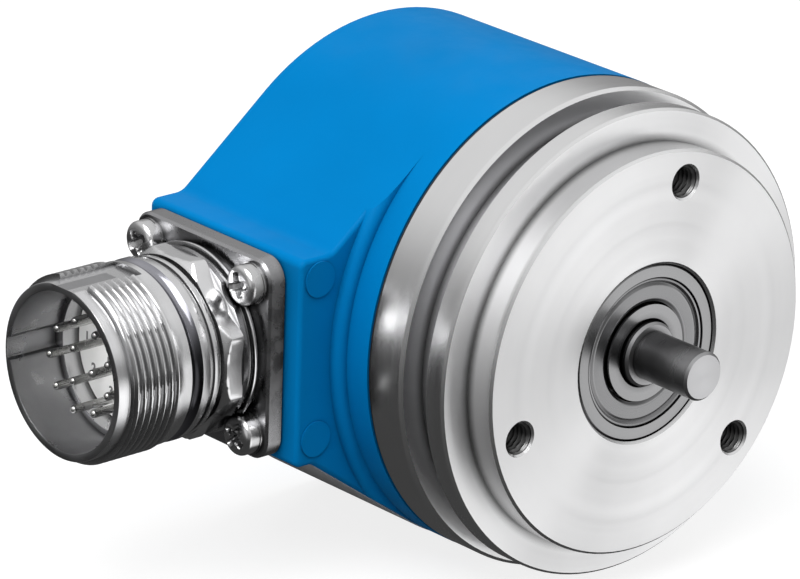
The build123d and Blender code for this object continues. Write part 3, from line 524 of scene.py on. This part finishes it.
def shell_point(u, r, angle):
    """Point of the shell, with its octagon, screw hollows, coding slot, keyway and thread cut in."""
    if octagon[0] <= u <= octagon[1] and r > octagon_bevel - 0.05:
        square = (angle + pi / 4) % (pi / 2) - pi / 4
        diagonal = angle % (pi / 2) - pi / 4
        r = min(octagon_narrow / cos(square), octagon_wide / cos(diagonal), octagon_bevel + octagon[1] - u)
    if plate_front <= u < octagon[0]:
        turn = (angle % (pi / 2)) - pi / 4
        offset = plate_screw_circle * sin(turn)
        if abs(offset) < scallop_radius:
            r = min(r, plate_screw_circle * cos(turn) - sqrt(scallop_radius**2 - offset**2))
    if thread_start < u < thread_end and r > thread_radius - 0.01:
        ends = min(1.0, (u - thread_start) / thread_runout, (thread_end - u) / thread_runout)
        depth = thread_depth * (1 - thread_wave((u - thread_start) / thread_pitch - angle / tau))
        r = thread_radius - depth * (thread_shallowest + (1 - thread_shallowest) * ends)
    turn = (angle - slot_angle + pi) % tau - pi
    if u > slot_end and r > slot_level and abs(turn) < slot_half_angle + 1e-6:
        r = min(r, slot_level / cos(turn))
    if u > bore_floor and r < bore_radius + 0.3:
        turn = (angle % tau) - pi
        offset = keyway_circle * sin(turn)
        if abs(offset) < keyway_radius and cos(turn) > 0:
            reach = keyway_circle * cos(turn) + sqrt(keyway_radius**2 - offset**2)
            r = max(r, min(reach, bore_radius + keyway_reach))
    return receptacle_point(u, r, angle)


def make_shell():
    """Receptacle shell with real thread ridges, eased edges and a crisp octagon."""
    half = (land[1] - land[0]) / 2
    middle = (land[0] + land[1]) / 2
    steps = [step / 4 for step in range(-4, 5)]
    hollow = [(middle + half * t, collar_radius - land_hollow * (1 - t * t)) for t in steps]
    ridges = thread_rings(thread_start, thread_end, thread_radius, thread_pitch, 10)
    bevel = [(octagon[1] - v, octagon_corner) for v in (0.85, 0.65, 0.45, 0.22)]
    profile = [
        (shell_rear, seat_radius),
        (shell_rear, stub_radius),
        (plate_front, stub_radius),
        (plate_front + 0.01, rear_step_radius),
        (rear_step, rear_step_radius),
        (rear_step, rear_ring_radius),
        (rear_ring_end, rear_ring_radius),
        (rear_ring_end, neck_radius),
        (neck_end, neck_radius),
        (neck_end, round_collar_radius),
        (octagon[0] - 0.01, round_collar_radius),
        (octagon[0], octagon_corner, "keep"),
        (octagon[0] + 0.1, octagon_corner, "keep"),
        *[(u, r, "keep") for u, r in bevel],
        (octagon[1], octagon_bevel, "keep"),
        (octagon[1] + 0.001, stub_radius),
        (front_ring[0], stub_radius),
        (front_ring[0], front_ring_radius),
        (front_ring[1], front_ring_radius),
        (front_ring[1], front_neck_radius),
        (front_neck_end, front_neck_radius),
        (front_neck_end, collar_radius),
        *[(u, r, "keep") for u, r in hollow],
        (slot_end, collar_radius, "keep"),
        (slot_end + 0.01, collar_radius, "keep"),
        (thread_start, collar_radius),
        *[(u, r, "keep") for u, r in ridges],
        (thread_end + 0.001, mouth_radius),
        (shell_end, mouth_radius),
        (shell_end, bore_radius),
        (bore_floor + 0.01, bore_radius),
        (bore_floor, seat_radius),
    ]
    columns = around(288)
    for side in (-1, 1):
        wall = slot_angle + side * slot_half_angle
        columns += [wall + side * slot_wall, wall]
    piece = grid_mesh("receptacle_shell", rounded(profile, edge_round), sorted(columns), shell_point)
    for name in ("nickel_plate", "polished_land_shade_nickel", "shaded_nickel"):
        piece.data.materials.append(materials[name])
    inner = bore_radius + keyway_reach + 0.05
    # Painted shade: faces in the bore get the darker shaded nickel, faces of the land the dark land nickel
    # that is lighter on top.
    for face in piece.data.polygons:
        u = -face.center.x / MM - pad_face
        r = Vector((face.center.y / MM - connector_y, face.center.z / MM)).length
        if r < inner and u > bore_floor:
            face.material_index = 2
        elif land[0] < u < land[1]:
            face.material_index = 1
    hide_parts("connector_shell")
    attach(piece, "base")


def make_hole_threads():
    """Thread ridges inside the three holes of the flange face."""
    for index in range(3):
        turn = radians(90 - hole_turn - index * 120)
        x, z = hole_circle * cos(turn), hole_circle * sin(turn)

        def place(y, r, angle):
            ridge = hole_thread_depth * thread_wave(y / hole_pitch - angle / tau)
            ridge *= min(1.0, (y - hole_thread[0]) / thread_runout)
            return Vector((x + (r - ridge) * cos(angle), y, z + (r - ridge) * sin(angle))) * MM

        rings = thread_rings(*hole_thread, hole_bore, hole_pitch, 8)
        piece = grid_mesh(f"hole_thread_{index + 1}", rings, around(40), place, closed=False)
        piece.data.materials.append(materials["threaded_hole"])
        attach(piece, "base")


def make_shields():
    """Dished shields of the front bearing, with a rolled rim and a stepped web."""
    rolled_rim = ((9.3, 0.0), (9.28, -0.18), (9.1, -0.29), (8.9, -0.25), (8.72, -0.05), (8.6, 0.02))
    web = ((8.45, -0.02), (8.3, -0.14), (8.15, -0.17), (6.75, -0.17), (6.55, -0.12), (6.42, 0.0))
    dish = (*rolled_rim, *web, (6.25, 0.05), (6.25, 0.2), (9.3, 0.2))
    rings = []
    for sign, seat in ((1, shield_front), (-1, shield_rear)):
        rings.append([(seat + sign * (0.1 + depth), radius) for radius, depth in dish])

    def place(y, r, angle):
        return Vector((r * cos(angle), y, r * sin(angle))) * MM

    pieces = [
        grid_mesh(f"bearing_shield_{k + 1}", ring, around(128), place) for k, ring in enumerate(rings)
    ]
    for piece in pieces:
        piece.data.materials.append(materials["shield_steel"])
        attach(piece, "base")
    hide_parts("front_bearing_shields")


def recess_floor(along, across):
    """Depth of a screw's cross recess at a place measured along and across its arms."""
    arm = min(abs(along), abs(across))
    reach = max(abs(along), abs(across))
    floor = recess_depth * (1 - reach / recess_reach) ** 0.5 if reach < recess_reach else 0.0
    return floor * min(1.0, max(0.0, (recess_half - arm) / recess_slope + 0.5))


def make_plate_screws():
    """Pan head screws: a turned crown with a rounded cross recess."""
    mesh = bmesh.new()
    angles = around(head_columns)
    for number, (side, level) in enumerate(((-1, -1), (-1, 1), (1, -1), (1, 1))):
        turn = radians(screw_turns[number])

        def corner(radius, angle, height):
            across = connector_y + side * screw_offset + radius * cos(angle)
            up = level * screw_offset + radius * sin(angle)
            return mesh.verts.new(Vector((-(pad_face + height), across, up)) * MM)

        rows = []
        for step in range(head_rings + 1):
            radius = head_radius * sin(pi / 2 * step / head_rings)
            fall = head_crown * (1 - sqrt(max(0.0, 1 - (radius / head_radius) ** 4)))
            row = []
            for angle in angles:
                sunk = recess_floor(radius * cos(angle - turn), radius * sin(angle - turn))
                row.append(corner(radius, angle, head_top - fall - sunk))
            rows.append(row)
        shank = ((screw_radius, head_bottom), (screw_radius, screw_tail), (0.1, screw_tail))
        for radius, height in ((head_radius, head_bottom), *shank):
            rows.append([corner(radius, angle, height) for angle in angles])
        for lower, upper in zip(rows, rows[1:]):
            for column in range(head_columns):
                after = (column + 1) % head_columns
                mesh.faces.new((lower[column], lower[after], upper[after], upper[column]))
    bmesh.ops.remove_doubles(mesh, verts=mesh.verts, dist=0.0001 * MM)
    bmesh.ops.recalc_face_normals(mesh, faces=mesh.faces)
    data = bpy.data.meshes.new("pan_head_screws")
    mesh.to_mesh(data)
    mesh.free()
    data.shade_smooth()
    piece = add_object("pan_head_screws", data)
    crease(piece, 40)
    data.materials.append(materials["stainless_steel"])
    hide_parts("plate_screws")
    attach(piece, "base")


def make_numbers():
    """Small raised number beside each contact on the insert's face."""
    places = []
    for radius, count, start in ((outer_pins, outer_count, pi), (inner_pins, inner_count, 0.0)):
        for k in range(count):
            angle = start + tau * k / count
            places.append((radius * cos(angle), radius * sin(angle)))
    turn = Matrix(((0.0, 0.0, -1.0), (-1.0, 0.0, 0.0), (0.0, 1.0, 0.0))).to_4x4()
    for index, (across, level) in enumerate(places):
        text = bpy.data.curves.new(f"contact_number_{index + 1}", "FONT")
        text.body = str(index + 1)
        text.size = number_height * MM
        text.extrude = number_raise * MM
        text.offset = number_swell * MM
        text.resolution_u = 3
        text.align_x = "CENTER"
        text.align_y = "CENTER"
        label = add_object(f"contact_number_{index + 1}", text)
        place = (-pad_face - insert_face, connector_y - across + number_shift, level + number_lift)
        label.matrix_world = Matrix.Translation(Vector(place) * MM) @ turn
        text.materials.append(materials["number_ink"])
        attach(label, "base")


make_shell()
make_hole_threads()
make_numbers()
make_shields()
make_plate_screws()
for name in ("housing", "type_label"):
    nodes[name].visible_glossy = False

# Camera
azimuth, elevation, roll = (radians(v) for v in (camera_azimuth, camera_elevation, camera_roll))
back = Vector((sin(azimuth) * cos(elevation), -cos(azimuth) * cos(elevation), sin(elevation)))
level = Vector((cos(azimuth), sin(azimuth), 0.0))
upward = back.cross(level)
right = level * cos(roll) + upward * sin(roll)
up = upward * cos(roll) - level * sin(roll)
camera = add_object("camera", bpy.data.cameras.new("camera"))
camera.data.sensor_width = 36.0
camera.data.lens = camera_lens
camera.data.clip_start = 0.05
camera.data.clip_end = 50.0
turn = Matrix((right, up, back)).transposed().to_4x4()
camera.matrix_world = Matrix.Translation(Vector(camera_place) * MM) @ turn
scene.camera = camera


def mapped(tree, value, low, high, start, end):
    """Number that runs smoothly from low to high while the value runs from start to end."""
    made = tree.nodes.new("ShaderNodeMapRange")
    made.interpolation_type = "SMOOTHSTEP"
    tree.links.new(value, made.inputs["Value"])
    for key, number in (("From Min", start), ("From Max", end), ("To Min", low), ("To Max", high)):
        if isinstance(number, (int, float)):
            made.inputs[key].default_value = number
        else:
            tree.links.new(number, made.inputs[key])
    return made.outputs["Result"]


def by_ray(tree, plain, to_camera, to_gloss):
    """One shader for light, one for camera and transmission rays, and one for glossy rays."""
    path = tree.nodes.new("ShaderNodeLightPath")
    larger = tree.nodes.new("ShaderNodeMath")
    larger.operation = "MAXIMUM"
    tree.links.new(path.outputs["Is Camera Ray"], larger.inputs[0])
    tree.links.new(path.outputs["Is Transmission Ray"], larger.inputs[1])
    result = plain
    for factor, shader in ((path.outputs["Is Glossy Ray"], to_gloss), (larger.outputs[0], to_camera)):
        mix = tree.nodes.new("ShaderNodeMixShader")
        tree.links.new(factor, mix.inputs["Fac"])
        tree.links.new(result, mix.inputs[1])
        tree.links.new(shader, mix.inputs[2])
        result = mix.outputs[0]
    return result


def make_floor():
    """Pale floor that stays white to the camera and keeps the shadow."""
    mesh = bpy.data.meshes.new("floor")
    corners = [(x * floor_half, y * floor_half, floor_z) for x, y in ((-1, -1), (1, -1), (1, 1), (-1, 1))]
    mesh.from_pydata([Vector(corner) * MM for corner in corners], [], [(0, 1, 2, 3)])
    floor = add_object("floor", mesh)
    material = bpy.data.materials.new("pale_floor")
    material.use_nodes = True
    tree = material.node_tree
    tree.nodes.clear()
    plain = tree.nodes.new("ShaderNodeBsdfDiffuse")
    plain.inputs["Color"].default_value = (floor_bounce, floor_bounce, floor_bounce, 1.0)
    keeping = tree.nodes.new("ShaderNodeBsdfDiffuse")
    keeping.inputs["Color"].default_value = (floor_shade, floor_shade, floor_shade, 1.0)
    glow = tree.nodes.new("ShaderNodeEmission")
    glow.inputs["Strength"].default_value = floor_glow
    both = tree.nodes.new("ShaderNodeAddShader")
    tree.links.new(keeping.outputs[0], both.inputs[0])
    tree.links.new(glow.outputs[0], both.inputs[1])
    out = tree.nodes.new("ShaderNodeOutputMaterial")
    tree.links.new(by_ray(tree, plain.outputs[0], both.outputs[0], plain.outputs[0]), out.inputs["Surface"])
    mesh.materials.append(material)
    floor.visible_glossy = False


def soft_box(tree, vector, box):
    """Strength of a round soft light seen in a direction: full inside one angle, none outside another."""
    axis, inner, outer, strength = box
    made = tree.nodes.new("ShaderNodeVectorMath")
    made.operation = "DOT_PRODUCT"
    tree.links.new(vector, made.inputs[0])
    made.inputs[1].default_value = Vector(axis).normalized()
    return mapped(tree, made.outputs["Value"], 0.0, strength, cos(radians(outer)), cos(radians(inner)))


def brighter(tree, first, second):
    """The larger of two strengths."""
    made = tree.nodes.new("ShaderNodeMath")
    made.operation = "MAXIMUM"
    tree.links.new(first, made.inputs[0])
    tree.links.new(second, made.inputs[1])
    return made.outputs[0]


def make_world():
    """White studio, as mirror-like surfaces see it: bright overhead, dark below, with soft boxes."""
    world = bpy.data.worlds.new("studio")
    scene.world = world
    world.use_nodes = True
    tree = world.node_tree
    tree.nodes.clear()
    shades = []
    for strength in (world_light, 1.0, 1.0):
        shade = tree.nodes.new("ShaderNodeBackground")
        shade.inputs["Color"].default_value = (1.0, 1.0, 1.0, 1.0)
        shade.inputs["Strength"].default_value = strength
        shades.append(shade)
    vector = tree.nodes.new("ShaderNodeTexCoord").outputs["Generated"]
    split = tree.nodes.new("ShaderNodeSeparateXYZ")
    tree.links.new(vector, split.inputs[0])
    horizon = mapped(tree, split.outputs["Z"], mirror_base, mirror_horizon, -0.3, 0.02)
    dome = mapped(tree, split.outputs["Z"], horizon, mirror_overhead, 0.15, 0.62)
    for box in (front_box, right_box, low_box, side_box):
        dome = brighter(tree, dome, soft_box(tree, vector, box))
    tree.links.new(dome, shades[2].inputs["Strength"])
    out = tree.nodes.new("ShaderNodeOutputWorld")
    mixed = by_ray(tree, shades[0].outputs[0], shades[1].outputs[0], shades[2].outputs[0])
    tree.links.new(mixed, out.inputs["Surface"])


def make_lamp(name, place, target, size, power, mirrored=True):
    """Square lamp that shines at a target, seen in mirror-like surfaces or not."""
    data = bpy.data.lights.new(name, "AREA")
    data.shape = "RECTANGLE"
    data.size = size * MM
    data.size_y = size * MM
    data.energy = power
    lamp = add_object(name, data)
    lamp.location = Vector(place) * MM
    lamp.rotation_euler = (Vector(target) * MM - lamp.location).to_track_quat("-Z", "Y").to_euler()
    lamp.visible_glossy = mirrored
    return lamp


make_floor()
make_world()
make_lamp("key_lamp", (-330, -110, 640), middle_of_body, 640, 6.0)
make_lamp("side_lamp", (430, -840, 270), middle_of_body, 360, 0.15)
make_lamp("fill_lamp", (-560, -470, 240), middle_of_plate, 220, 0.4, mirrored=False)
make_lamp("back_lamp", (420, 640, 420), middle_of_body, 400, 1.6, mirrored=False)
mouth = make_lamp("mouth_lamp", (-150, connector_y, 0), (0, connector_y, 0), 10, 0.0005, mirrored=False)
mouth.data.spread = radians(14)

scene.view_settings.view_transform = "Standard"
